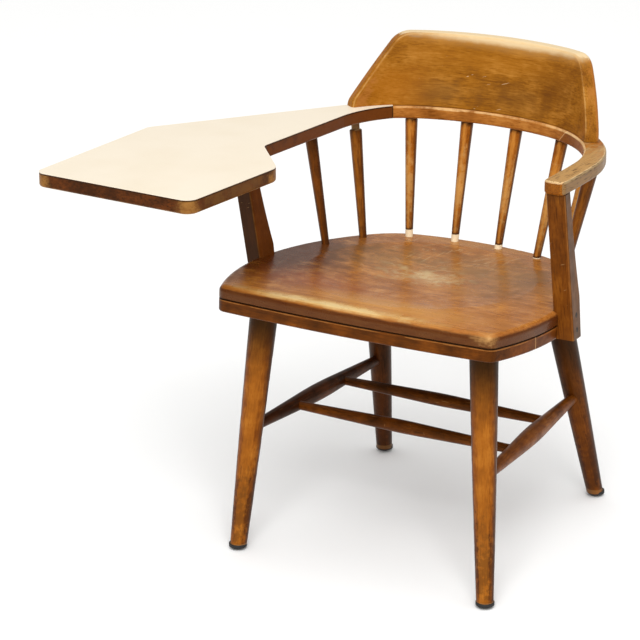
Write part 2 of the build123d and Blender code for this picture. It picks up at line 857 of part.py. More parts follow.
with BuildPart() as tablet_core:
    with BuildSketch(bow_under):
        add(tablet_plan)
    extrude(amount=bow_thickness)
    joint_middle = corner_point(joint_angle, bow_width / 2, right, arm_height - bow_thickness)
    under_rims = tablet_core.faces().sort_by(Axis.Z)[0].edges().sort_by_distance(joint_middle)[1:]
    fillet(under_rims, tablet_edge_radius)
    for drill in bow_drills:
        add(drill, mode=Mode.SUBTRACT)
keep(tablet_core.part, "tablet_core")

with BuildPart() as tablet_laminate:
    with BuildSketch(bow_top):
        add(tablet_plan)
    extrude(amount=laminate_thickness)
    for drill in bow_drills:
        add(drill, mode=Mode.SUBTRACT)
keep(tablet_laminate.part, "tablet_laminate")

# ---------------------------------------------------------------- crest
crest_up = Vector(0, crest_lean, crest_height).normalized()
slope_run = (crest_height - crest_end_rise) * tan(radians(crest_end_slope))
slope_turn = degrees(slope_run / (bow_corner_radius + crest_middle))


def crest_end_planes(side):
    """The upright and the sloping plane of a crest's end, and the points on their top edges."""
    foot = corner_point(crest_end_angle, crest_middle, side, arm_height)
    inner = corner_point(crest_end_angle + slope_turn, crest_middle, side, arm_height)
    waist = foot + crest_up * (crest_end_rise / crest_up.Z)
    shoulder = inner + crest_up * (crest_height / crest_up.Z)
    radial = corner_point(crest_end_angle, 1, side, 0) - corner_point(crest_end_angle, 0, side, 0)
    middle_angle = crest_end_angle + slope_turn / 2
    across = corner_point(middle_angle, 1, side, 0) - corner_point(middle_angle, 0, side, 0)
    upright = Plane(origin=foot, z_dir=radial.cross(crest_up) * side)
    sloping = Plane(origin=waist, z_dir=across.cross(shoulder - waist) * side)
    return upright, sloping, waist, shoulder


with BuildPart() as crest:
    with BuildSketch(bow_top):
        add(bow_band(crest_setback, crest_setback + crest_thickness))
        mirror(about=Plane.YZ)
    extrude(amount=hypot(crest_height, crest_lean), dir=(0, crest_lean, crest_height))
    for side in (left, right):
        upright, sloping, waist, shoulder = crest_end_planes(side)
        split(bisect_by=upright, keep=Keep.BOTTOM)
        split(bisect_by=sloping, keep=Keep.BOTTOM)
    for side in (left, right):
        upright, sloping, waist, shoulder = crest_end_planes(side)
        fillet(crest.edges().sort_by_distance(waist)[0], crest_waist_radius)
        fillet(crest.edges().sort_by_distance(shoulder)[0], crest_shoulder_radius)
    rims = crest.edges().filter_by(GeomType.LINE, reverse=True)
    rims = rims.filter_by(lambda edge: edge.bounding_box().max.Z > arm_height + glue_gap)
    fillet(rims, crest_edge_radius)
    add(tablet_laminate.part, mode=Mode.SUBTRACT)
    for head, tip in crest_screw_points:
        add(screw_hole(head, tip), mode=Mode.SUBTRACT)
keep(crest.part, "crest")

with BuildPart() as crest_screws:
    for head, tip in crest_screw_points:
        add(screw(head, tip))
keep(crest_screws.part, "crest_screws")

# ---------------------------------------------------------------- posts
for side in (left, right):
    start, end = post_tenons[side]
    with BuildPart() as post:
        add(post_blank(side))
        split(bisect_by=bow_under, keep=Keep.BOTTOM)
        split(bisect_by=seat_under, keep=Keep.TOP)
        fillet(post.edges().filter_by(lambda edge: edge.length > post_width * 3), post_edge_radius)
        add(rod(start - (end - start), end, post_tenon_diameter))
        for head, tip in post_screws:
            add(screw_hole(head, tip), mode=Mode.SUBTRACT)
    keep(post.part, f"{side_names[side]}_post")

with BuildPart() as post_screw_set:
    for head, tip in post_screws:
        add(screw(head, tip))
keep(post_screw_set.part, "post_screws")

block_plane, block_rise = post_frame(right)
block_up = block_plane.x_dir
block_depth = post_back(right)
block_out = Vector(0, 0, 1).cross(block_depth)
block_corner = block_plane.from_local_coords(Vector(block_rise, post_edge_radius, post_width))
block_corner = block_corner + block_up * ((arm_height - bow_thickness - block_corner.Z) / block_up.Z)
block_slope = -block_up.dot(block_out) / block_up.Z
with BuildPart() as glue_block:
    with BuildSketch(Plane(origin=block_corner, x_dir=block_out, z_dir=block_depth)):
        with BuildLine():
            Polyline((0, 0), (block_reach, 0), (block_drop * block_slope, -block_drop), close=True)
        make_face()
    extrude(amount=block_length - post_edge_radius)
keep(glue_block.part, "post_glue_block")

# ---------------------------------------------------------------- export
boxes = [piece.bounding_box() for piece in pieces]
middle_x = (min(box.min.X for box in boxes) + max(box.max.X for box in boxes)) / 2
middle_y = (min(box.min.Y for box in boxes) + max(box.max.Y for box in boxes)) / 2
to_origin = Location((-middle_x, -middle_y, 0))
for piece in pieces:
    name = piece.label
    placed = piece.moved(to_origin)
    placed.label = name
    export_step(placed, f"parts/{name}.step")
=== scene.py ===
"""Finishes, floor, light and camera for a writing arm windsor chair of stained birch."""
import logging
import math
from dataclasses import dataclass, field
from enum import Enum
from typing import Any, ClassVar

import bmesh
import bpy
import numpy as np
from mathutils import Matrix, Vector


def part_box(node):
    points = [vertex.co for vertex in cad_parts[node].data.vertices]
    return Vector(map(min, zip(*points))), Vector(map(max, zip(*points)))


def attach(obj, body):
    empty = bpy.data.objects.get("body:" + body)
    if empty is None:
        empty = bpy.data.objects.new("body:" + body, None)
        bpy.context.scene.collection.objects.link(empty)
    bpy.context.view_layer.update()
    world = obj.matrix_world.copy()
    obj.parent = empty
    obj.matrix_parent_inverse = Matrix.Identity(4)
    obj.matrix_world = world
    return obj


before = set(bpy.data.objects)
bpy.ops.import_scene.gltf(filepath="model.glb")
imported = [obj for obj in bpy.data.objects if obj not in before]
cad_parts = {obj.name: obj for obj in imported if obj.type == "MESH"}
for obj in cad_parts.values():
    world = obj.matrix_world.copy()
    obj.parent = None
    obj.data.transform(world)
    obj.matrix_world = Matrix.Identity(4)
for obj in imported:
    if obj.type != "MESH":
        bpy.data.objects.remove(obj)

log = logging.getLogger("chair")

MM = 0.001  # one millimetre, in the scene's metres
ROOT = "root"  # the one body of a chair with no moving parts
PER_METRE = 1000.0  # a texture scale of PER_METRE / (size in mm) has features of that size
ALL_ALONG = 1e5  # mm; a reach beyond any piece
# In mm from the middle of the chair's outline, tablet included. +X is the sitter's left, +Y the back
SEAT_MIDDLE = Vector((82.7, 75.5, 0.0))
ARM_TOP = 661.0  # mm over the floor; the top of both arms and of the tablet's board
UP = Vector((0.0, 0.0, 1.0))
LEVEL = (1.0, 1.0, 0.0)  # takes the height out of what it multiplies
END_SHARE = 0.02  # of a long piece's length, which counts as its end
NOISE_MIDDLE = 0.5
NOISE_SWING = 0.25  # how far noise mostly strays from its middle

Socket = bpy.types.NodeSocket
Tree = bpy.types.NodeTree
Span = tuple[float, float]


def linear(colour: str) -> tuple[float, float, float, float]:
    """Turns an sRGB hex colour to linear light.

    Args:
        colour: The colour, such as "#a1662f".

    Returns:
        Red, green, blue and an alpha of one.
    """
    shares = [int(colour[place:place + 2], 16) / 255 for place in (1, 3, 5)]
    red, green, blue = [s / 12.92 if s <= 0.04045 else ((s + 0.055) / 1.055) ** 2.4 for s in shares]
    return red, green, blue, 1.0


def add_node(tree: Tree, kind: str, inputs: dict[int | str, Any], **settings: Any) -> bpy.types.Node:
    """Adds a shader node, sets it and links it.

    Args:
        tree: The node tree that takes the node.
        kind: The node's type, without its leading "ShaderNode".
        inputs: What each input takes, a socket to link from or a value.
        settings: The node's own settings, such as its operation.

    Returns:
        The new node.
    """
    node = tree.nodes.new("ShaderNode" + kind)
    for name, value in settings.items():
        setattr(node, name, value)
    for key, value in inputs.items():
        if isinstance(value, Socket):
            tree.links.new(value, node.inputs[key])
        else:
            node.inputs[key].default_value = value
    return node


def maths(tree: Tree, operation: str, *values: Any) -> Socket:
    """Adds a math node that takes the values in order, and gives its result."""
    return add_node(tree, "Math", dict(enumerate(values)), operation=operation).outputs[0]


def vector_maths(tree: Tree, operation: str, *values: Any) -> Socket:
    """Adds a vector math node likewise. A dot product or a length gives a number."""
    node = add_node(tree, "VectorMath", dict(enumerate(values)), operation=operation)
    return node.outputs["Value" if operation in ("DOT_PRODUCT", "LENGTH") else "Vector"]


def noise(tree: Tree, place: Socket, size: float, detail: float, roughness: float = 0.5) -> Socket:
    """Adds noise with features of a size in mm, and gives a value round one half."""
    inputs = {"Vector": place, "Scale": PER_METRE / size, "Detail": detail, "Roughness": roughness}
    return add_node(tree, "TexNoise", inputs).outputs[0]


def ranged(tree: Tree, value: Socket, span: Span, result: Span = (0.0, 1.0), **settings: Any) -> Socket:
    """Maps a value from its span to the result, and keeps it inside."""
    ends = {"From Min": span[0], "From Max": span[1], "To Min": result[0], "To Max": result[1]}
    return add_node(tree, "MapRange", {"Value": value, **ends}, **settings).outputs[0]


def blend(tree: Tree, share: Socket, one: Any, other: Any) -> Socket:
    """Lays a share of the other colour over the first."""
    return add_node(tree, "Mix", {"Factor": share, 6: one, 7: other}, data_type="RGBA").outputs[2]


def relief(tree: Tree, height: Socket, strength: float, depth: float) -> Socket:
    """Turns heights to a normal, where a height of one stands for the depth in mm."""
    inputs = {"Height": height, "Strength": strength, "Distance": depth * MM}
    return add_node(tree, "Bump", inputs).outputs[0]


def new_material(name: str) -> tuple[bpy.types.Material, Tree, bpy.types.Node]:
    """Makes an empty node material.

    Args:
        name: The material's name.

    Returns:
        The material, its node tree and its output node.
    """
    material = bpy.data.materials.new(name)
    material.use_nodes = True
    material.node_tree.nodes.clear()
    output = add_node(material.node_tree, "OutputMaterial", {})
    return material, material.node_tree, output


def add_object(name: str, data: bpy.types.ID, place: Any, turn: Any = (0, 0, 0)) -> bpy.types.Object:
    """Adds an object to the scene.

    Args:
        name: Its name.
        data: Its mesh, light or camera.
        place: Where it is, in metres.
        turn: Its turn about each axis, in radians.

    Returns:
        The object.
    """
    item = bpy.data.objects.new(name, data)
    item.location = place
    item.rotation_euler = turn
    bpy.context.scene.collection.objects.link(item)
    return item


def wear(item: bpy.types.Object, material: bpy.types.Material) -> None:
    """Puts one material on every slot of an object.

    Args:
        item: The object.
        material: The material that it gets.
    """
    if not item.material_slots:
        item.data.materials.append(material)
    for slot in item.material_slots:
        slot.material = material


def end_centres(node: str, side: int) -> tuple[Vector, Vector]:
    """Finds the middle of both ends of a long CAD node.

    Args:
        node: The node's name.
        side: The axis that the node mostly follows, 0 for X, 1 for Y and 2 for Z.

    Returns:
        The middle of the end that is low on that axis, and of the one that is high on it.
    """
    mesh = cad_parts[node].data
    flat = np.empty(len(mesh.vertices) * 3, np.float32)
    mesh.vertices.foreach_get("co", flat)
    points = flat.reshape(-1, 3)
    along = points[:, side]
    slice_depth = (along.max() - along.min()) * END_SHARE
    low = points[along < along.min() + slice_depth]
    high = points[along > along.max() - slice_depth]
    return Vector((low.max(0) + low.min(0)) / 2), Vector((high.max(0) + high.min(0)) / 2)


def spot(x: float, y: float, z: float) -> Vector:
    """Gives the place, in metres, of a point in mm left, back and up from under the seat's middle."""
    return (SEAT_MIDDLE + Vector((x, y, z))) * MM


class Tone(Enum):
    """How light the stain on a piece is: the dark, middle and pale colours of its grain."""

    GOLD = ("#743f10", "#a36426", "#c58740")
    HONEY = ("#673308", "#965313", "#bc7b31")
    TAWNY = ("#643608", "#8f5914", "#ac742d")
    AMBER = ("#632f07", "#87490e", "#a6651f")
    ORANGE = ("#64300a", "#93530f", "#ae6d22")
    CHESTNUT = ("#451f05", "#6d390b", "#8f5417")
    BROWN = ("#321503", "#532806", "#743c0c")
    UMBER = ("#1f0b03", "#3c1b07", "#5d2d0d")
    BARE = ("#c39a66", "#dcb98a", "#ecd2a8")


@dataclass(frozen=True)
class StraightGrain:
    """Grain that runs one way, as in a sawn or turned piece."""

    along: Vector
    stretch: float = 16.0  # how much longer than wide a streak is

    def coordinates(self, tree: Tree, place: Socket) -> Socket:
        """Gives the place on the piece with its length squeezed by the stretch.

        Args:
            tree: The material's node tree.
            place: The place on the piece, in metres.

        Returns:
            The squeezed place, which a noise texture turns to streaks.
        """
        unit = tuple(self.along.normalized())
        length = vector_maths(tree, "DOT_PRODUCT", place, unit)
        squeeze = maths(tree, "MULTIPLY", length, 1 - 1 / self.stretch)
        back = add_node(tree, "VectorMath", {0: unit, "Scale": squeeze}, operation="SCALE")
        return vector_maths(tree, "SUBTRACT", place, back.outputs[0])


@dataclass(frozen=True)
class BentGrain:
    """Grain that follows a steam bent or sawn curve round an upright axis."""

    centre: tuple[float, float]  # where the axis stands, in mm from the middle of the seat
    radius: float  # of the curve, in mm
    stretch: float = 16.0

    def coordinates(self, tree: Tree, place: Socket) -> Socket:
        """Gives the place on the piece as its run round the curve, its radius and its height.

        Args:
            tree: The material's node tree.
            place: The place on the piece, in metres.

        Returns:
            The squeezed place, which a noise texture turns to streaks.
        """
        off = vector_maths(tree, "SUBTRACT", place, tuple(spot(*self.centre, 0.0)))
        parts = add_node(tree, "SeparateXYZ", {0: off}).outputs
        turn = maths(tree, "ARCTAN2", parts["Y"], parts["X"])
        run = maths(tree, "MULTIPLY", turn, self.radius * MM / self.stretch)
        reach = vector_maths(tree, "LENGTH", vector_maths(tree, "MULTIPLY", off, LEVEL))
        return add_node(tree, "CombineXYZ", {"X": run, "Y": reach, "Z": parts["Z"]}).outputs[0]


@dataclass(frozen=True)
class Ground:
    """The surface that a mark lies on, as sockets of its material."""

    tree: Tree
    place: Socket  # the place on the piece, in metres
    normal: Socket
    flecks: Socket  # fine streaks along the grain
    clouds: Socket  # soft noise, some 25 mm wide

    def frayed(self, value: Socket, broken: float, ragged: float) -> Socket:
        """Breaks the border of a mask.

        Args:
            value: The distance that the border goes by, as a share of the mark's reach.
            broken: How far the grain's streaks move the border.
            ragged: How far the soft noise moves it.

        Returns:
            The distance with the noise added.
        """
        for uneven, share in ((self.flecks, broken), (self.clouds, ragged)):
            if share:
                middle = maths(self.tree, "SUBTRACT", uneven, NOISE_MIDDLE)
                value = maths(self.tree, "MULTIPLY_ADD", middle, share / NOISE_SWING, value)
        return value

    def fade(self, value: Socket, start: float, end: float, full: float) -> Socket:
        """Gives a mask that is full up to the start and nothing from the end, whichever is greater."""
        span, result = ((start, end), (full, 0.0)) if start < end else ((end, start), (0.0, full))
        return ranged(self.tree, value, span, result, interpolation_type="SMOOTHSTEP")

    def times(self, one: Socket, other: Socket) -> Socket:
        """Multiplies two masks."""
        return maths(self.tree, "MULTIPLY", one, other)

    def turned(self, facing: Vector, both: bool = False) -> Socket:
        """Gives the cosine of the angle to a direction, or with both, to it and its opposite alike."""
        cosine = vector_maths(self.tree, "DOT_PRODUCT", self.normal, tuple(facing.normalized()))
        return maths(self.tree, "ABSOLUTE", cosine) if both else cosine

    def radial(self, centre: tuple[float, float]) -> Socket:
        """Gives how far the surface faces an upright axis or looks away from it.

        Args:
            centre: Where the axis stands, in mm from the middle of the seat.

        Returns:
            The cosine of the angle, the same for both sides of a board that is bent round the axis.
        """
        off = vector_maths(self.tree, "SUBTRACT", self.place, tuple(spot(*centre, 0.0)))
        unit = vector_maths(self.tree, "NORMALIZE", vector_maths(self.tree, "MULTIPLY", off, LEVEL))
        return maths(self.tree, "ABSOLUTE", vector_maths(self.tree, "DOT_PRODUCT", self.normal, unit))


@dataclass(frozen=True)
class Mark:
    """A mark on a piece's colour: something that use or the stain left there, and also painted light and
    shade.
    """

    colour: str
    strength: float

    def mask(self, ground: Ground) -> Socket:
        """Gives where the mark is, from zero to its strength."""
        raise NotImplementedError

    def laid(self, ground: Ground, colour: Socket) -> Socket:
        """Lays the mark over the colour so far."""
        return blend(ground.tree, self.mask(ground), colour, linear(self.colour))


@dataclass(frozen=True)
class Patch(Mark):
    """A worn, smoky, bare or dark area with a soft broken border."""

    at: Vector  # its middle, in metres
    reach: tuple[float, float, float]  # how far it goes from there along each axis, in mm
    core: float = 0.45  # share of the reach that has the full strength
    broken: float = 0.2
    ragged: float = 0.2
    facing: Vector | None = None  # only where the surface looks this way
    facing_from: float = 0.5
    facing_soft: float = 0.25

    def mask(self, ground: Ground) -> Socket:
        """Gives where the patch is.

        Args:
            ground: The surface.

        Returns:
            The mask.
        """
        scale = tuple(1 / (reach * MM) for reach in self.reach)
        off = vector_maths(ground.tree, "SUBTRACT", ground.place, tuple(self.at))
        away = vector_maths(ground.tree, "LENGTH", vector_maths(ground.tree, "MULTIPLY", off, scale))
        frayed = ground.frayed(away, self.broken, self.ragged)
        mask = ground.fade(frayed, self.core, 1.0, self.strength)
        if self.facing is None:
            return mask
        full = self.facing_from + self.facing_soft
        return ground.times(mask, ground.fade(ground.turned(self.facing), full, self.facing_from, 1.0))


@dataclass(frozen=True)
class Seam(Mark):
    """A thin line where a flat joint meets the surface."""

    at: Vector  # a point of the joint, in metres
    across: Vector  # square to the joint
    half_width: float  # mm
    broken: float = 0.1
    ragged: float = 0.2
    core: float = 0.6  # share of the half width that has the full strength
    end: float = 1.1  # and where nothing is left of the line

    def mask(self, ground: Ground) -> Socket:
        """Gives where the line is.

        Args:
            ground: The surface.

        Returns:
            The mask.
        """
        unit = tuple(self.across.normalized() / (self.half_width * MM))
        off = vector_maths(ground.tree, "SUBTRACT", ground.place, tuple(self.at))
        away = maths(ground.tree, "ABSOLUTE", vector_maths(ground.tree, "DOT_PRODUCT", off, unit))
        frayed = ground.frayed(away, self.broken, self.ragged)
        return ground.fade(frayed, self.core, self.end, self.strength)


@dataclass(frozen=True)
class Rub(Mark):
    """Wear that bares the wood where two faces meet in a rounded edge."""

    facing: Vector | None = None  # square to the broad face
    bent_round: tuple[float, float] | None = None  # or the axis that the broad face is bent round, in mm
    both: bool = True  # also along the edges of the opposite face
    inner: float = 0.15  # the broad face's tilt where the rub ends on its neighbour
    outer: float = 0.97  # and where it begins on the broad face
    soft_inner: float = 0.3  # how wide its borders are
    soft_outer: float = 0.07
    patchy: float = 0.6  # how much it comes and goes
    comes: Span = (0.4, 0.6)  # values of the soft noise from where it is gone to where it is full
    ragged: float = 0.05

    def mask(self, ground: Ground) -> Socket:
        """Gives where the edges are rubbed.

        Args:
            ground: The surface.

        Returns:
            The mask.
        """
        if self.bent_round:
            turned = ground.radial(self.bent_round)
        else:
            turned = ground.turned(self.facing, self.both)
        ragged = ground.frayed(turned, self.ragged, self.ragged)
        edge = ground.times(
            ground.fade(ragged, self.inner + self.soft_inner, self.inner, 1.0),
            ground.fade(ragged, self.outer - self.soft_outer, self.outer, self.strength),
        )
        return ground.times(edge, ranged(ground.tree, ground.clouds, self.comes, (1 - self.patchy, 1.0)))


@dataclass(frozen=True)
class Face(Mark):
    """A paler or darker face, told from its neighbours by the way it looks; on many pieces it is painted
    light and shade.
    """

    facing: Vector
    facing_from: float = 0.75
    beside: bool = False  # the faces beside this one instead
    ragged: float = 0.1
    soft: float = 0.12  # how wide the border is
    broken: float = 0.05

    def mask(self, ground: Ground) -> Socket:
        """Gives where the face is.

        Args:
            ground: The surface.

        Returns:
            The mask.
        """
        looks = ground.frayed(ground.turned(self.facing), self.broken, self.ragged)
        border = (self.facing_from, self.facing_from + self.soft)
        start, end = border if self.beside else border[::-1]
        return ground.fade(looks, start, end, self.strength)


@dataclass(frozen=True)
class Scratches(Mark):
    """Short fine scratches that lie more or less one way, denser in one area."""

    at: Vector  # the middle of the area, in metres
    reach: tuple[float, float, float]  # mm
    along: Vector
    width: float = 1.4  # mm; real ones are finer, but those would not show
    length: float = 45.0  # how many times longer than wide
    few: float = 0.8  # the higher, the fewer
    soft: float = 0.05  # how wide the border of a scratch is
    wander_size: float = 60.0  # mm along a scratch before it bends another way
    wander: float = 6.0  # mm, how far it bends

    def mask(self, ground: Ground) -> Socket:
        """Gives where the scratches are.

        Args:
            ground: The surface.

        Returns:
            The mask.
        """
        drift = {"Vector": ground.place, "Scale": PER_METRE / self.wander_size, "Detail": 1.0}
        aside = {0: add_node(ground.tree, "TexNoise", drift).outputs["Color"], "Scale": self.wander * MM}
        bend = add_node(ground.tree, "VectorMath", aside, operation="SCALE").outputs[0]
        bent = vector_maths(ground.tree, "ADD", ground.place, bend)
        squeezed = StraightGrain(self.along, self.length).coordinates(ground.tree, bent)
        lines = noise(ground.tree, squeezed, self.width, 0.0)
        thin = ground.fade(lines, self.few + self.soft, self.few, 1.0)
        area = Patch(self.colour, self.strength, self.at, self.reach, 0.3, 0.1, 0.3)
        return ground.times(thin, area.mask(ground))


@dataclass(frozen=True)
class Finish:
    """The look of one kind of material."""

    per_piece: ClassVar[bool] = True  # whether each piece has a material of its own

    name: str

    def inputs(self, tree: Tree, node: str) -> dict[str, Any]:
        """Builds what lies under the surface and gives what its inputs take."""
        raise NotImplementedError

    def material(self, node: str) -> bpy.types.Material:
        """Builds the material for one piece.

        Args:
            node: The name of the piece.

        Returns:
            The material.
        """
        material, tree, output = new_material(f"{self.name}_{node}" if self.per_piece else self.name)
        surface = add_node(tree, "BsdfPrincipled", self.inputs(tree, node))
        tree.links.new(surface.outputs[0], output.inputs["Surface"])
        return material


@dataclass(frozen=True)
class StainedBirch(Finish):
    """Birch, planed or turned, wiped with an orange brown stain and varnished.

    The stain takes unevenly, so the eye sees fine dark flecks along the grain, faint wide bands, cloudy
    blotches and a low satin shine. Marks of use, painted light and painted shade lie over it.
    """

    grain: StraightGrain | BentGrain
    tone: Tone = Tone.ORANGE
    marks: tuple[Mark, ...] = ()
    roughness: float = 0.38
    gloss: float = 0.15  # varnish that is thin and worn shines less than a full coat, 0.5
    streaky: float = 0.45  # share of the grain against the blotches
    fleck_width: float = 2.0  # mm; real flecks of 0.5 mm would not show, so these are coarser
    pore_strength: float = 0.6  # how dark the stain that sits in the pores is
    shine_tint: str = "#ffd59a"  # old varnish is amber, and tints its own shine
    band_width: float = 11.0  # mm across the growth bands
    banded: float = 0.4  # their share against the flecks
    blotch_size: float = 48.0  # mm across the clouds in the stain
    cloud_size: float = 24.0  # mm; how ragged the borders of marks are
    grain_depth: float = 0.08  # mm
    grain_strength: float = 0.35
    pore_span: Span = (0.34, 0.45)  # values of the flecks from full pores to none
    worn_span: Span = (0.3, 0.7)  # values of the clouds from dulled to polished
    dulled: float = 0.09  # roughness that use adds where it dulled the varnish most
    polished: float = 0.07  # and takes away where it polished it most
    octaves: float = 0.6  # how strong the finer octaves of all its noise are

    def stained(self, ground: Ground, squeezed: Socket) -> Socket:
        """Builds the stained grain.

        Args:
            ground: The surface.
            squeezed: The place from the grain's coordinates.

        Returns:
            The colour.
        """
        tree = ground.tree
        bands = noise(tree, squeezed, self.band_width, 2.0, self.octaves)
        blotches = noise(tree, ground.place, self.blotch_size, 4.0, self.octaves)
        stain = ground.flecks
        for share, layer in ((self.banded, bands), (1 - self.streaky, blotches)):
            mixed = {"Factor": share, 2: stain, 3: layer}
            stain = add_node(tree, "Mix", mixed, data_type="FLOAT").outputs[0]
        ramp = add_node(tree, "ValToRGB", {"Fac": stain})
        dark, middle, pale = self.tone.value
        stops = ramp.color_ramp.elements
        stops[0].position, stops[0].color = 0.35, linear(dark)
        stops[1].position, stops[1].color = 0.65, linear(pale)
        stops.new(0.5).color = linear(middle)
        pores = ground.fade(ground.flecks, *self.pore_span, self.pore_strength)
        return blend(tree, pores, ramp.outputs["Color"], linear(dark))

    def inputs(self, tree: Tree, node: str) -> dict[str, Any]:
        """Builds the stained wood and its marks.

        Args:
            tree: The material's node tree.
            node: The name of the piece; not used.

        Returns:
            What the surface's inputs take.
        """
        coordinates = add_node(tree, "TexCoord", {})
        place = coordinates.outputs["Object"]
        squeezed = self.grain.coordinates(tree, place)
        flecks = noise(tree, squeezed, self.fleck_width, 4.0, self.octaves)
        clouds = noise(tree, place, self.cloud_size, 4.0, self.octaves)
        ground = Ground(tree, place, coordinates.outputs["Normal"], flecks, clouds)
        colour = self.stained(ground, squeezed)
        for mark in self.marks:
            colour = mark.laid(ground, colour)
        normal = relief(tree, flecks, self.grain_strength, self.grain_depth)
        shine = (self.roughness + self.dulled, self.roughness - self.polished)
        return {
            "Base Color": colour,
            "Roughness": ranged(tree, clouds, self.worn_span, shine),
            "Normal": normal,
            "IOR": 1.5,
            "Specular IOR Level": self.gloss,
            "Specular Tint": linear(self.shine_tint),
        }


@dataclass(frozen=True)
class CreamLaminate(Finish):
    """Paper and resin laminate pressed smooth, cream on top with a brown core.

    It looks flat and even, with a faint cloudiness from wiping, and its cut edge shows the brown core.
    """

    per_piece: ClassVar[bool] = False

    name: str = "cream_laminate"
    face: str = "#e7dbc6"
    wiped: str = "#e4d7c0"
    core: str = "#5b3a20"
    core_share: float = 0.45  # of the sheet's thickness
    cloud_size: float = 90.0  # mm
    speck_size: float = 3.0  # mm; dust and pin pricks
    speck_depth: float = 0.03  # mm

    def inputs(self, tree: Tree, node: str) -> dict[str, Any]:
        """Builds the clouds on the sheet and its cut edge.

        Args:
            tree: The material's node tree.
            node: The name of the piece.

        Returns:
            What the surface's inputs take.
        """
        low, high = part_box(node)
        place = add_node(tree, "TexCoord", {}).outputs["Object"]
        clouds = noise(tree, place, self.cloud_size, 5.0)
        specks = noise(tree, place, self.speck_size, 2.0)
        cloudy = ranged(tree, clouds, (0.42, 0.72))
        face = blend(tree, cloudy, linear(self.face), linear(self.wiped))
        height = add_node(tree, "SeparateXYZ", {0: place}).outputs["Z"]
        core_top = low.z + (high.z - low.z) * self.core_share
        above = maths(tree, "GREATER_THAN", height, core_top)
        return {
            "Base Color": blend(tree, above, linear(self.core), face),
            "Roughness": ranged(tree, specks, (0.0, 1.0), (0.28, 0.4)),
            "Normal": relief(tree, specks, 0.1, self.speck_depth),
            "IOR": 1.5,
        }


@dataclass(frozen=True)
class WornSteel(Finish):
    """Mild steel, pressed or turned and dulled by use: dark, with brighter rubbed spots and fine turning."""

    dark: str = "#4b4845"
    bright: str = "#a7a39c"
    roughness: float = 0.32
    dulled: float = 0.15  # roughness that use adds
    polished: float = 0.1  # and takes away
    spot_size: float = 4.0  # mm
    spot_depth: float = 0.05  # mm

    def inputs(self, tree: Tree, node: str) -> dict[str, Any]:
        """Builds the spots and pits.

        Args:
            tree: The material's node tree.
            node: The name of the piece; not used.

        Returns:
            What the surface's inputs take.
        """
        place = add_node(tree, "TexCoord", {}).outputs["Object"]
        spots = noise(tree, place, self.spot_size, 4.0)
        ramp = add_node(tree, "ValToRGB", {"Fac": spots})
        stops = ramp.color_ramp.elements
        stops[0].position, stops[0].color = 0.38, linear(self.dark)
        stops[1].position, stops[1].color = 0.66, linear(self.bright)
        shine = (self.roughness + self.dulled, self.roughness - self.polished)
        return {
            "Base Color": ramp.outputs[0],
            "Metallic": 1.0,
            "Roughness": ranged(tree, spots, (0.0, 1.0), shine),
            "Normal": relief(tree, spots, 0.2, self.spot_depth),
        }


@dataclass(frozen=True)
class MouldedRubber(Finish):
    """Black rubber, moulded: matt, a little dusty and finely pitted."""

    name: str = "moulded_rubber"
    colour: str = "#0e0d0c"
    dust: str = "#26221e"
    roughness: float = 0.7
    pit_size: float = 1.2  # mm
    pit_depth: float = 0.1  # mm

    def inputs(self, tree: Tree, node: str) -> dict[str, Any]:
        """Builds the dust and pits.

        Args:
            tree: The material's node tree.
            node: The name of the piece; not used.

        Returns:
            What the surface's inputs take.
        """
        place = add_node(tree, "TexCoord", {}).outputs["Object"]
        pits = noise(tree, place, self.pit_size, 3.0)
        dusty = ranged(tree, pits, (0.45, 0.75))
        return {
            "Base Color": blend(tree, dusty, linear(self.colour), linear(self.dust)),
            "Roughness": self.roughness,
            "Normal": relief(tree, pits, 0.3, self.pit_depth),
            "IOR": 1.52,
        }


def dress(node: str, finish: Finish) -> None:
    """Gives a CAD node its finish and reports it."""
    wear(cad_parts[node], finish.material(node))
    log.info("%s: %s", node, finish.name)


@dataclass
class GlideLip:
    """The lip of a glide's rubber cushion, drawn up round the end of its leg."""

    outer_radius: float = 15.0  # mm
    inner_radius: float = 13.2
    bottom: float = 4.4  # mm over the floor
    top: float = 10.4
    edge: float = 1.0  # mm that its rims are rounded by
    bevel: float = 0.3  # share of the edge that the top rim's middle corner is set in
    steps: int = 48  # round the ring

    def profile(self) -> list[tuple[float, float]]:
        """Lists the corners of the lip's section, each a radius and a height in mm."""
        set_in = self.edge * self.bevel
        return [
            (self.inner_radius, self.bottom),
            (self.outer_radius - self.edge, self.bottom),
            (self.outer_radius, self.bottom + self.edge),
            (self.outer_radius, self.top - self.edge),
            (self.outer_radius - set_in, self.top - set_in),
            (self.outer_radius - self.edge, self.top),
            (self.inner_radius, self.top),
        ]

    def build(self, corner: str) -> None:
        """Makes the lip on one leg.

        Args:
            corner: The leg's corner of the chair, such as "front_left".
        """
        low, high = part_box(f"{corner}_glide_cushion")
        middle = (low + high) / 2
        form = bmesh.new()
        rings = []
        for step in range(self.steps):
            turn = 2 * math.pi * step / self.steps
            out = Vector((math.cos(turn), math.sin(turn), 0.0))
            ring = [form.verts.new((out * radius + UP * height) * MM) for radius, height in self.profile()]
            rings.append(ring)
        for ring, after in zip(rings, rings[1:] + rings[:1]):
            for place in range(len(ring)):
                form.faces.new((ring[place - 1], ring[place], after[place], after[place - 1]))
        bmesh.ops.recalc_face_normals(form, faces=form.faces)
        for face in form.faces:
            face.smooth = True
        mesh = bpy.data.meshes.new(f"{corner}_glide_lip")
        form.to_mesh(mesh)
        form.free()
        lip = add_object(mesh.name, mesh, (middle.x, middle.y, 0.0))
        wear(lip, MouldedRubber().material(lip.name))
        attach(lip, ROOT)
        log.info("%s: rubber lip round the leg's end", lip.name)


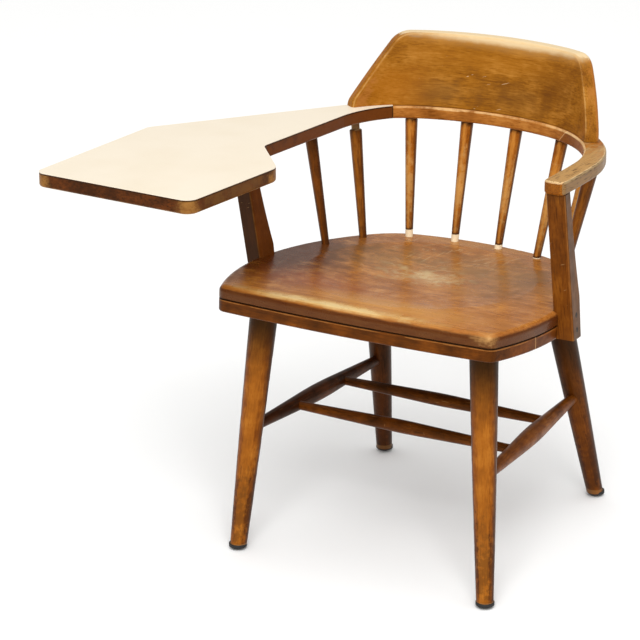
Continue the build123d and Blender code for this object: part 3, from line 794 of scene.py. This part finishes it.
@dataclass
class Underframe:
    """Four splayed turned legs on glides, tied by four turned stretchers."""

    sides: tuple[str, ...] = ("left", "right")
    ends: tuple[str, ...] = ("front", "back")
    # The back legs' darker stains stand partly for painted shade under the seat.
    leg_tones: dict[str, Tone] = field(
        default_factory=lambda: {
            "front_left_leg": Tone.AMBER,
            "front_right_leg": Tone.AMBER,
            "back_left_leg": Tone.BROWN,
            "back_right_leg": Tone.UMBER,
        }
    )
    # mm of each leg under the seat that gets painted shade
    shade_reach: dict[str, float] = field(default_factory=lambda: {"front": 165.0, "back": 260.0})
    rubbed_height: float = 90.0  # mm over the leg's end
    scuffed_height: float = 50.0
    foot_ring: float = 5.5  # mm of bare wood over the leg's end
    ring_strength: dict[str, float] = field(default_factory=lambda: {"front": 0.6, "back": 0.3})
    highlight_side: Vector = Vector((0.3, -0.95, 0.1))  # where the legs get a painted highlight down the middle, with painted shade on the faces beside it

    def dress_leg(self, end: str, side: str) -> None:
        """Dresses a leg and its glide.

        Args:
            end: "front" or "back".
            side: "left" or "right".
        """
        leg = f"{end}_{side}_leg"
        foot, top = end_centres(leg, 2)
        level = (ALL_ALONG, ALL_ALONG)
        tone = self.leg_tones[leg]
        rubbed = foot + UP * self.rubbed_height * MM
        scuffed = foot + UP * self.scuffed_height * MM
        ring = self.ring_strength[end]
        marks = (
            Patch("#55290c", 0.4, rubbed, (*level, 70.0), core=0.2, broken=0.4, ragged=0.4),
            Patch("#35180a", 0.65, scuffed, (*level, 75.0), core=0.0, broken=0.4, ragged=1.2),
            # Painted shade on the sides of the leg and a painted highlight down its front.
            Face("#341704", 0.75, self.highlight_side, 0.35, beside=True, ragged=0.02, soft=0.35),
            Face(tone.value[2], 0.3, self.highlight_side, 0.8, ragged=0.03),
            # Painted shade under the seat, darkest at the leg's top.
            Patch("#190b04", 0.9, top, (*level, self.shade_reach[end]), core=0.25, broken=0.02, ragged=0.03),
            Patch("#a87a49", ring, foot, (*level, self.foot_ring), core=0.5, broken=0.1, ragged=0.2),
        )
        grain = StraightGrain(top - foot, 9.0)
        finish = StainedBirch(
            "turned_birch", grain, tone, marks, pore_strength=0.35, blotch_size=30.0, cloud_size=9.0
        )
        dress(leg, finish)
        dress(f"{end}_{side}_glide_cushion", MouldedRubber())
        dress(f"{end}_{side}_glide_cap", WornSteel("pressed_steel"))
        GlideLip().build(f"{end}_{side}")

    def dress_stretcher(self, node: str, side: int, tone: Tone) -> None:
        """Dresses a stretcher.

        Args:
            node: The stretcher's name.
            side: The axis that it mostly follows.
            tone: How dark its stain is.
        """
        start, end = end_centres(node, side)
        middle = (start + end) / 2
        marks = (
            Scratches("#b98a57", 0.4, middle, (160.0, 160.0, 60.0), end - start, few=0.78),
            Scratches("#b98a57", 0.35, middle, (160.0, 160.0, 60.0), UP, few=0.8, length=20.0),
        )
        dress(node, StainedBirch("turned_birch", StraightGrain(end - start, 9.0), tone, marks))

    def build(self) -> None:
        """Dresses every piece under the seat."""
        for end in self.ends:
            for side in self.sides:
                self.dress_leg(end, side)
            self.dress_stretcher(f"{end}_cross_stretcher", 0, Tone.BROWN)
        self.dress_stretcher("left_stretcher", 1, Tone.CHESTNUT)
        # The right stretcher's darkest stain stands partly for painted shade under the seat.
        self.dress_stretcher("right_stretcher", 1, Tone.UMBER)


@dataclass
class Seat:
    """A dished board on a frame of four rails, screwed from below."""

    across: Vector = Vector((1.0, 0.0, 0.0))
    lengthwise: Vector = Vector((0.0, 1.0, 0.0))
    up: Vector = Vector((0.0, 0.054, 0.9985))  # square to the pitched top
    joint_height: float = 429.0  # mm at the middle of the seat
    arris_drop: float = 2.5  # mm from there down to the rails' rubbed edge
    front_joint: float = -158.0  # mm, where the front rail meets the side rails
    back_joint: float = 97.0

    def groove(self) -> Seam:
        """Makes the dark line between the two layers of the seat."""
        return Seam("#190b04", 0.9, spot(0.0, 0.0, self.joint_height), self.up, 1.6)

    def board_marks(self) -> tuple[Mark, ...]:
        """Lists what use left on the board and its painted light and shade, from the first to the last laid.
        """
        dish = spot(-5.0, 20.0, 452.0)
        back = spot(-10.0, 120.0, 446.0)
        front_edge = spot(-40.0, -249.0, 462.0)
        pale = "#d9bd8f"
        return (
            # Painted shade over the sitter's right side of the board.
            Patch("#481b04", 0.9, spot(-240.0, -20.0, 458.0), (160.0, 260.0, 60.0), 0.25, 0.1, 0.2),
            Patch("#8a3f0e", 0.55, spot(-120.0, -150.0, 461.0), (150.0, 90.0, 60.0), 0.1, 0.1, 0.3),
            # A golden zone at the front of the board, partly a painted highlight.
            Patch("#c98f42", 0.65, spot(40.0, -200.0, 462.0), (220.0, 60.0, 60.0), 0.0, 0.1, 0.25),
            Patch("#7c5830", 0.55, spot(140.0, 0.0, 458.0), (120.0, 150.0, 60.0), 0.0, 0.1, 0.3),
            Patch("#7a5f3a", 0.5, spot(60.0, 70.0, 450.0), (200.0, 120.0, 60.0), 0.0, 0.1, 0.3),
            Patch("#7d6138", 0.45, spot(-100.0, 40.0, 450.0), (130.0, 110.0, 60.0), 0.0, 0.1, 0.3),
            Patch("#c8ad7c", 0.8, spot(2.0, -8.0, 452.0), (85.0, 50.0, 60.0), 0.0, 0.4, 0.6),
            Patch("#b07a36", 0.5, spot(0.0, 185.0, 442.0), (170.0, 28.0, 60.0), 0.1, 0.15, 0.3),
            # Painted shade on the board's edges and underside, wherever it does not face up.
            Face("#3a0e02", 0.9, self.up, 0.45, beside=True, ragged=0.05, soft=0.4),
            Patch("#cda25c", 0.85, front_edge, (245.0, 25.0, 30.0), 0.2, 0.15, 0.2, self.up, 0.6),
            Patch("#e2c98f", 0.7, front_edge, (160.0, 16.0, 30.0), 0.1, 0.3, 0.4, self.up, 0.6),
            Rub("#8a4a17", 0.5, facing=self.up, both=False, inner=0.45, outer=0.96, patchy=0.3),
            Patch("#c39358", 0.6, spot(232.0, -254.0, 458.0), (26.0, 20.0, 16.0), 0.1, 0.3, 0.5),
            Scratches(pale, 0.8, back, (190.0, 70.0, 60.0), Vector((0.6, 1.0, 0.0)), few=0.74),
            Scratches(pale, 0.7, back, (190.0, 90.0, 60.0), Vector((0.1, 1.0, 0.0)), few=0.76),
            Scratches(pale, 0.7, dish, (130.0, 90.0, 60.0), Vector((1.0, 0.4, 0.0)), few=0.72, length=25.0),
            Scratches(pale, 0.6, dish, (250.0, 220.0, 60.0), Vector((0.8, -0.5, 0.0)), few=0.82),
            self.groove(),
        )

    def build(self) -> None:
        """Dresses the board, the rails and the screws."""
        grain = StraightGrain(self.across, 12.0)
        marks = self.board_marks()
        board = StainedBirch(
            "planed_birch", grain, Tone.GOLD, marks, roughness=0.27, gloss=0.42, streaky=0.7
        )
        dress("seat_board", board)
        edge = spot(0.0, 0.0, self.joint_height - self.arris_drop)
        arris = Seam("#a86c33", 0.5, edge, self.up, 0.8, ragged=1.5)
        joints = tuple(
            Seam("#c39863", 0.7, spot(0.0, y, 0.0), self.lengthwise, 0.9)
            for y in (self.front_joint, self.back_joint)
        )
        marks = (*joints, arris, self.groove())
        for side in ("front", "back", "left", "right"):
            grain = StraightGrain(self.lengthwise if side in ("left", "right") else self.across)
            # The rails' dark brown stain stands partly for painted shade under the board's edge.
            finish = StainedBirch("sawn_birch", grain, Tone.BROWN, marks, pore_strength=0.2)
            dress(f"seat_{side}_rail", finish)
        dress("seat_rail_screws", WornSteel("turned_steel"))


@dataclass
class Bow:
    """The bent rail and arm on eight spindles, with the crest on top."""

    back_centre: tuple[float, float] = (0.0, -156.0)  # of the back's curve, mm from the middle of the seat
    back_radius: float = 400.0
    corner_centre: tuple[float, float] = (56.5, 33.8)  # of the corner's curve on the left
    face_centre: tuple[float, float] = (0.0, -20.0)  # that the crest's whole face looks to, roughly
    joint_angle: float = 56.0  # degrees; where both joints are on the corner's curve
    joint_run: float = 182.0
    joint_slant: float = 21.0  # mm that the left joint runs along the arm on its way down
    thickness: float = 22.0
    crest_top: float = 780.0
    bare_heights: tuple[float, ...] = (0.0, 0.0, 13.0, 13.0, 8.0, 2.0, 0.0, 0.0)  # mm over the seat
    slid_down: tuple[float, ...] = (2.8, 17.3, 2.8, 2.8, 2.8, 2.8, 2.8, 2.8)  # mm of neck under the bow
    # Spindles 1, 2 and 8 have darker stains that stand partly for painted shade, under the tablet and behind
    # the left post.
    spindle_tones: tuple[Tone, ...] = (Tone.BROWN, Tone.CHESTNUT, *[Tone.HONEY] * 5, Tone.CHESTNUT)
    tenon_depth: float = 16.2  # mm of a spindle inside the seat, and about as much inside the bow
    foot_shade: float = 70.0  # mm of a spindle over the seat that gets painted shade, darkest at the seat
    top_shade: float = 9.0  # and mm under its bare neck that get a painted shadow from the bow
    socket_rim: float = 3.0  # mm of dark stain round a bare tenon
    rubbed_drop: float = 10.0  # mm from a spindle's middle down to its pale patch, rubbed by clothes and partly a painted highlight
    highlight_side: Vector = Vector((0.13, -0.95, 0.1))  # where the spindles get a painted highlight streak, with painted shade on the faces beside it; clothes rubbed the middle spindles pale there too
    arm_cracks: Vector = Vector((0.12, 1.0, 0.0))  # the way that the cracks in the arm's varnish run

    def joint(self, side: int) -> tuple[Vector, Vector]:
        """Finds a joint of the bow.

        Args:
            side: 1 for the left one, -1 for the right one.

        Returns:
            A point of it on the bow's top, and the direction along the bow there.
        """
        turn = math.radians(self.joint_angle)
        x = self.corner_centre[0] + self.joint_run * math.cos(turn)
        y = self.corner_centre[1] + self.joint_run * math.sin(turn)
        return spot(side * x, y, ARM_TOP), Vector((side * math.sin(turn), -math.cos(turn), 0.0))

    def joint_lines(self) -> tuple[Mark, ...]:
        """Makes the dark line of the right joint and the pale slanted line of the left one."""
        right, right_along = self.joint(-1)
        left, left_along = self.joint(1)
        slanted = left_along * self.thickness - UP * self.joint_slant
        return (
            Seam("#2a1508", 0.85, right, right_along, 1.0),
            Seam("#d0a570", 0.8, left, slanted, 0.9),
        )

    def dress_spindle(self, number: int) -> None:
        """Dresses a spindle, with its bare tenon where it has lifted out of its socket.

        Args:
            number: Its place from the sitter's right, from one.
        """
        node = f"spindle_{number}"
        foot, top = end_centres(node, 2)
        low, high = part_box(node)
        level = (ALL_ALONG, ALL_ALONG)
        tone = self.spindle_tones[number - 1]
        bare = self.bare_heights[number - 1]
        neck = self.tenon_depth + self.slid_down[number - 1]
        at_foot = Vector((foot.x, foot.y, low.z))
        at_top = Vector((top.x, top.y, high.z))
        marks: list[Mark] = [
            # Painted shade low on the spindle over the seat, and a painted shadow at its top under the bow.
            Patch("#45210a", 0.6, at_foot, (*level, self.tenon_depth + self.foot_shade), 0.2, 0.2, 0.2),
            Patch("#2c1406", 0.75, at_top, (*level, neck + self.top_shade), 0.7, 0.05, 0.05),
            # Painted shade on the spindle's sides and a painted highlight streak down its front.
            Face("#42200a", 0.75, self.highlight_side, 0.45, beside=True, ragged=0.03, soft=0.3),
            Face(tone.value[2], 0.8, self.highlight_side, 0.9, ragged=0.03),
            Patch("#96744e", 0.85, at_top, (*level, neck), 0.95, 0.02, 0.0),
        ]
        if tone is Tone.HONEY:
            # A pale patch on the front, rubbed by clothes and partly a painted highlight.
            rubbed = (foot + top) / 2 - UP * self.rubbed_drop * MM
            marks.append(Patch("#cf9f5c", 0.5, rubbed, (*level, 70.0), 0.0, 0.5, 0.8, self.highlight_side))
        if bare:
            depth = self.tenon_depth + bare
            marks.append(Patch("#33190a", 0.8, at_foot, (*level, depth + self.socket_rim), 0.95, 0.02, 0.0))
            marks.append(Patch("#f0dcb8", 0.97, at_foot, (*level, depth), 0.95, 0.02, 0.0))
        grain = StraightGrain(top - foot, 9.0)
        finish = StainedBirch(
            "turned_birch", grain, tone, tuple(marks), roughness=0.3, gloss=0.25, cloud_size=10.0
        )
        dress(node, finish)

    def dress_arm(self) -> None:
        """Dresses the left arm: worn grey and bare on top, orange at its end."""
        end = spot(250.0, -60.0, ARM_TOP)
        marks = (
            *self.joint_lines(),
            Face("#6b3a14", 0.5, Vector((-0.2, -1.0, 0.0))),
            Patch("#4b2408", 0.8, spot(212.0, -133.0, 650.0), (40.0, 12.0, 14.0), 0.1, 0.4, 0.9),
            Patch("#b08b58", 0.85, end, (90.0, 250.0, 30.0), 0.5, 0.2, 0.3, UP, 0.55),
            Patch("#d6b888", 0.7, spot(205.0, -118.0, ARM_TOP), (22.0, 30.0, 30.0), 0.0, 0.4, 0.5, UP, 0.4),
            Rub("#dcbc8c", 0.85, facing=UP, both=False, patchy=0.4),
            # Painted reflection: a greyish sheen on the arm's outer side.
            Face("#7d6a4a", 0.7, Vector((1.0, 0.1, 0.0)), 0.5),
            Scratches("#4a2f16", 0.8, end, (80.0, 210.0, 30.0), self.arm_cracks, few=0.62, length=14.0),
        )
        grain = StraightGrain(Vector((0.0, 1.0, 0.0)), 10.0)
        dress("left_arm", StainedBirch("sawn_birch", grain, Tone.ORANGE, marks, streaky=0.75))

    def dress_crest(self) -> None:
        """Dresses the crest: rubbed pale along its top and down its ends."""
        top = spot(25.0, 240.0, self.crest_top)
        face = spot(0.0, 235.0, 700.0)
        end_wear = "#a0632a"
        marks = (
            # Painted reflection: two smoky grey patches low on the crest's face.
            Patch("#6b4c28", 0.45, spot(-100.0, 240.0, 684.0), (90.0, 90.0, 36.0), 0.0, 0.15, 0.2),
            Patch("#6a441c", 0.5, spot(50.0, 240.0, 688.0), (130.0, 90.0, 44.0), 0.0, 0.15, 0.25),
            # Painted shade on the sitter's left half of the crest, and painted light low on its right end.
            Patch("#63380c", 0.5, spot(130.0, 235.0, 715.0), (100.0, 90.0, 60.0), 0.0, 0.15, 0.25),
            Patch("#9a5a0c", 0.55, spot(-165.0, 200.0, 690.0), (90.0, 90.0, 60.0), 0.1, 0.15, 0.25),
            Patch("#a8691a", 0.4, spot(0.0, 200.0, 745.0), (190.0, 90.0, 30.0), 0.1, 0.15, 0.25),
            Face(end_wear, 0.7, Vector((1.0, 0.0, 0.35)), 0.7),
            Face(end_wear, 0.6, Vector((-1.0, 0.0, 0.5)), 0.7),
            Patch("#b88a4d", 0.75, top, (235.0, ALL_ALONG, 27.0), 0.15, 0.06, 0.06),
            Patch("#dcc49a", 0.85, top, (225.0, ALL_ALONG, 15.0), 0.35, 0.06, 0.08),
            Face("#dcc49a", 0.85, Vector((0.0, 0.27, 1.0)), 0.74),
            Rub("#cfa468", 0.4, bent_round=self.face_centre, inner=0.5, outer=0.925, patchy=0.8),
            Scratches("#ddc49a", 0.8, face, (150.0, 90.0, 60.0), Vector((1.0, 0.0, 0.35)), few=0.84),
            Seam("#1d0e06", 0.45, spot(0.0, 0.0, ARM_TOP + 0.6), UP, 0.9),
        )
        grain = BentGrain(self.back_centre, self.back_radius, 9.0)
        finish = StainedBirch("bent_birch", grain, Tone.TAWNY, marks, streaky=0.55, pore_strength=0.35)
        dress("crest", finish)

    def build(self) -> None:
        """Dresses the spindles, the bow, the crest and what joins them."""
        for number in range(1, len(self.bare_heights) + 1):
            self.dress_spindle(number)
        rail_marks = (*self.joint_lines(), Rub("#d9b27c", 0.7, facing=UP, both=False, patchy=0.85))
        grain = BentGrain(self.back_centre, self.back_radius, 9.0)
        dress("centre_rail", StainedBirch("bent_birch", grain, Tone.GOLD, rail_marks))
        self.dress_arm()
        self.dress_crest()
        dress("crest_screws", WornSteel("turned_steel"))
        for node in ("tablet_joint_dowels", "scarf_joint_dowels"):
            dress(node, StainedBirch("turned_birch", StraightGrain(Vector((1.0, 1.0, 0.0))), Tone.BARE))


@dataclass
class Posts:
    """The two square posts under the arms, with their screws and glue block."""

    # The side, its sign, how far the post is turned in degrees, its stain and how dark its front is
    turns: tuple[tuple[str, int, float, Tone, float], ...] = (
        ("left", 1, 3.5, Tone.CHESTNUT, 0.2),
        ("right", -1, 11.5, Tone.BROWN, 0.75),
    )
    scratched: Vector = Vector((1.0, 0.0, 0.5))  # the way that their scratches run

    def build(self) -> None:
        """Dresses the posts."""
        for side, sign, degrees, tone, front_shade in self.turns:
            node = f"{side}_post"
            foot, top = end_centres(node, 2)
            turn = math.radians(degrees)
            front = Vector((sign * math.sin(turn), -math.cos(turn), 0.0))
            outward = Vector((sign * math.cos(turn), math.sin(turn), 0.0))
            marks = (
                # Painted shade at the post's top, under the arm and the tablet.
                Patch("#33190b", 0.6, top, (ALL_ALONG, ALL_ALONG, 45.0), 0.1, 0.2, 0.2),
                Face("#2e1204", front_shade, front),
                # Painted reflection: a greyish sheen on the post's outer face.
                Face("#45351f", 0.5, outward),
                Face("#7c3e0b", 0.3, -outward),
                Rub("#a87440", 0.25, facing=front, inner=0.4),
                Scratches("#b58c5c", 0.4, (foot + top) / 2, (80.0, 80.0, 120.0), self.scratched, few=0.82),
            )
            dress(node, StainedBirch("planed_birch", StraightGrain(top - foot, 10.0), tone, marks))
        block = StainedBirch("sawn_birch", StraightGrain(Vector((1.0, 0.0, 0.0))), Tone.UMBER)
        dress("post_glue_block", block)
        screws = WornSteel("stained_over_steel", dark="#1d1510", bright="#4a3a2a", roughness=0.5)
        dress("post_screws", screws)


@dataclass
class WritingTablet:
    """The broad tablet on the sitter's right, a birch board faced with laminate."""

    corners: tuple[tuple[float, float], ...] = ((-458.0, -412.0), (-184.0, -427.0), (-157.0, -222.0))  # mm
    corner_drop: float = 12.0  # mm from the top down to the middle of each worn corner

    def build(self) -> None:
        """Dresses the board and its facing."""
        worn = tuple(
            Patch("#9c6d36", 0.75, spot(x, y, ARM_TOP - self.corner_drop), (26.0, 26.0, 60.0), 0.1, 0.3, 0.5)
            for x, y in self.corners
        )
        marks = (
            Patch("#7a5226", 0.45, spot(-150.0, -330.0, 650.0), (50.0, 150.0, 60.0), 0.2, 0.4, 0.6),
            Patch("#6f3a10", 0.65, spot(-165.0, 60.0, 650.0), (120.0, 330.0, 60.0), 0.5, 0.3, 0.4),
            *worn,
            Bow().joint_lines()[0],
            Patch("#1f0f06", 0.85, spot(0.0, 0.0, ARM_TOP), (ALL_ALONG, ALL_ALONG, 2.4), 0.5, 0.05, 0.1),
            Rub("#a87c45", 0.45, facing=UP, inner=0.25, patchy=0.8),
        )
        grain = StraightGrain(Vector((1.0, 0.4, 0.0)), 10.0)
        dress("tablet_core", StainedBirch("sawn_birch", grain, Tone.UMBER, marks, streaky=0.5))
        dress("tablet_laminate", CreamLaminate())


@dataclass
class Studio:
    """A plain pale floor, soft light and the camera."""

    floor_half: float = 30.0  # m
    floor_colour: str = "#fcfcfb"
    camera_place: tuple[float, float, float] = (1.8692, -3.5154, 1.8388)  # m
    camera_tilt: float = 69.827  # degrees from straight down
    camera_turn: float = 28.9  # degrees
    lens: float = 147.3  # mm
    sensor: float = 36.0  # mm wide
    sight: float = 100.0  # m that the camera sees
    key_power: float = 140.0  # W
    key_size: float = 2.6  # m
    overhead_strength: float = 1.6  # W/m2
    overhead_spread: float = 100.0  # degrees across
    sky: float = 0.45  # strength
    key_place: Vector = Vector((1.5, -3.0, 3.6))  # m
    key_aim: Vector = Vector((0.08, 0.07, 0.45))  # m, over the middle of the seat
    overhead_height: float = 5.0  # m
    overhead_tilt: tuple[float, float] = (14.0, 20.0)  # degrees, towards the back and round

    def lay_floor(self) -> None:
        """Makes the floor."""
        mesh = bpy.data.meshes.new("floor")
        form = bmesh.new()
        corners = [(-1, -1), (1, -1), (1, 1), (-1, 1)]
        form.faces.new([form.verts.new((x * self.floor_half, y * self.floor_half, 0.0)) for x, y in corners])
        form.to_mesh(mesh)
        form.free()
        floor = add_object("floor", mesh, (0.0, 0.0, 0.0))
        material, tree, output = new_material("floor_paint")
        paint = {"Base Color": linear(self.floor_colour), "Roughness": 0.9}
        surface = add_node(tree, "BsdfPrincipled", paint)
        tree.links.new(surface.outputs[0], output.inputs["Surface"])
        wear(floor, material)

    def hang_key(self) -> None:
        """Hangs the square soft light in front and to the side."""
        lamp = bpy.data.lights.new("key_light", "AREA")
        lamp.energy, lamp.size = self.key_power, self.key_size
        turn = (self.key_aim - self.key_place).to_track_quat("-Z", "Y").to_euler()
        add_object("key_light", lamp, self.key_place, turn)

    def place_camera(self) -> None:
        """Makes the camera and the scene looks through it."""
        lens = bpy.data.cameras.new("camera")
        lens.lens, lens.sensor_width, lens.clip_end = self.lens, self.sensor, self.sight
        turn = (math.radians(self.camera_tilt), 0.0, math.radians(self.camera_turn))
        bpy.context.scene.camera = add_object("camera", lens, self.camera_place, turn)

    def hang_overhead(self) -> None:
        """Hangs the broad light far overhead that brightens the whole floor alike."""
        lamp = bpy.data.lights.new("overhead_light", "SUN")
        lamp.energy, lamp.angle = self.overhead_strength, math.radians(self.overhead_spread)
        tilt, turn = (math.radians(degrees) for degrees in self.overhead_tilt)
        add_object("overhead_light", lamp, UP * self.overhead_height, (tilt, 0.0, turn))

    def build(self) -> None:
        """Sets up the floor, the lights and the camera."""
        self.place_camera()
        self.lay_floor()
        self.hang_key()
        self.hang_overhead()
        world = bpy.data.worlds.new("sky")
        world.use_nodes = True
        light = world.node_tree.nodes["Background"].inputs
        light["Color"].default_value, light["Strength"].default_value = (1.0, 1.0, 1.0, 1.0), self.sky
        bpy.context.scene.world = world
        bpy.context.scene.view_settings.view_transform = "Standard"
        log.info("studio: floor, key light, overhead light, camera")


def main() -> None:
    """Builds and dresses every part of the chair in order."""
    logging.basicConfig(level=logging.INFO, format="%(message)s")
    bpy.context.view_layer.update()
    Studio().build()
    Underframe().build()
    Seat().build()
    Bow().build()
    Posts().build()
    WritingTablet().build()


if __name__ == "__main__":
    main()
